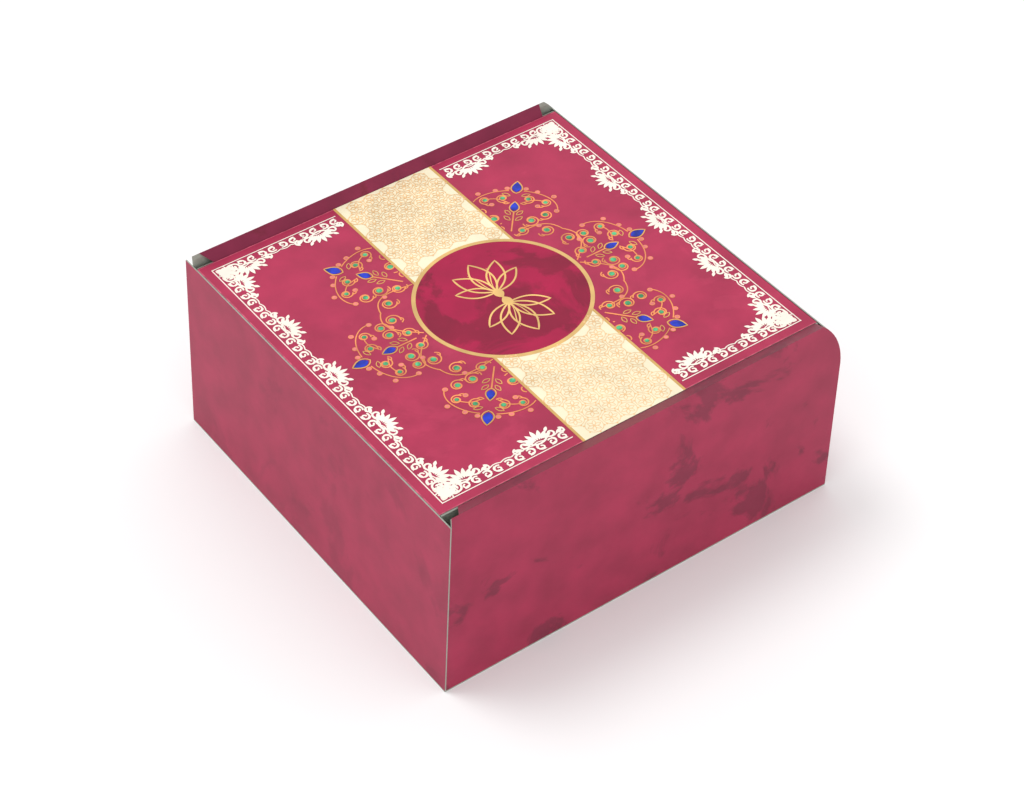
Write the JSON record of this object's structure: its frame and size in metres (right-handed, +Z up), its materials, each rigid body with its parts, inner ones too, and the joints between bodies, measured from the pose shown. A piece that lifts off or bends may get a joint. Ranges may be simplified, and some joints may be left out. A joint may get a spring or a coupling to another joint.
{
  "type": "sweet box",
  "caption": "Square folded-board sweet box with hollow rolled side walls and a hinged lid whose tuck flap and side flaps close it, decorated with a band, medallion and lace border.",
  "frame": {"origin": "under the middle of the box, on the underside of the base", "axes": "+Z up, +X from the hinge wall towards the tuck wall, +Y from the near side wall to the far one"},
  "size_m": [0.214, 0.211, 0.1],
  "materials": {
    "lid_print": "satin print",
    "wall_print": "satin print",
    "shoulder_print": "satin print",
    "grey_board": "matte"
  },
  "bodies": {
    "tray": {"base_panel": "wall_print", "hinge_wall": "wall_print", "tuck_wall": "wall_print", "near_outer_wall": "wall_print", "near_shoulder": "shoulder_print", "near_inner_wall": "wall_print", "far_outer_wall": "wall_print", "far_shoulder": "shoulder_print", "far_inner_wall": "wall_print", "near_hinge_tab": "grey_board", "far_hinge_tab": "grey_board", "near_tuck_tab": "grey_board", "far_tuck_tab": "grey_board"},
    "lid": {"lid_panel": "lid_print"},
    "tuck_flap": {"lid_tuck_flap": "lid_print"},
    "near_flap": {"near_lid_flap": "lid_print"},
    "far_flap": {"far_lid_flap": "lid_print"}
  },
  "joints": [
    {"name": "lid_hinge", "type": "hinge", "parent": "tray", "child": "lid", "pos_m": [-0.1, 0, 0.0945], "axis": [0, -1, 0], "range_deg": [0, 180]},
    {"name": "tuck_crease", "type": "hinge", "parent": "lid", "child": "tuck_flap", "pos_m": [0.09874, 0, 0.0939], "axis": [0, 1, 0], "range_deg": [0, 80]},
    {"name": "near_flap_crease", "type": "hinge", "parent": "lid", "child": "near_flap", "pos_m": [0, -0.0959, 0.0939], "axis": [1, 0, 0], "range_deg": [0, 85]},
    {"name": "far_flap_crease", "type": "hinge", "parent": "lid", "child": "far_flap", "pos_m": [0, 0.0959, 0.0939], "axis": [-1, 0, 0], "range_deg": [0, 85]}
  ]
}
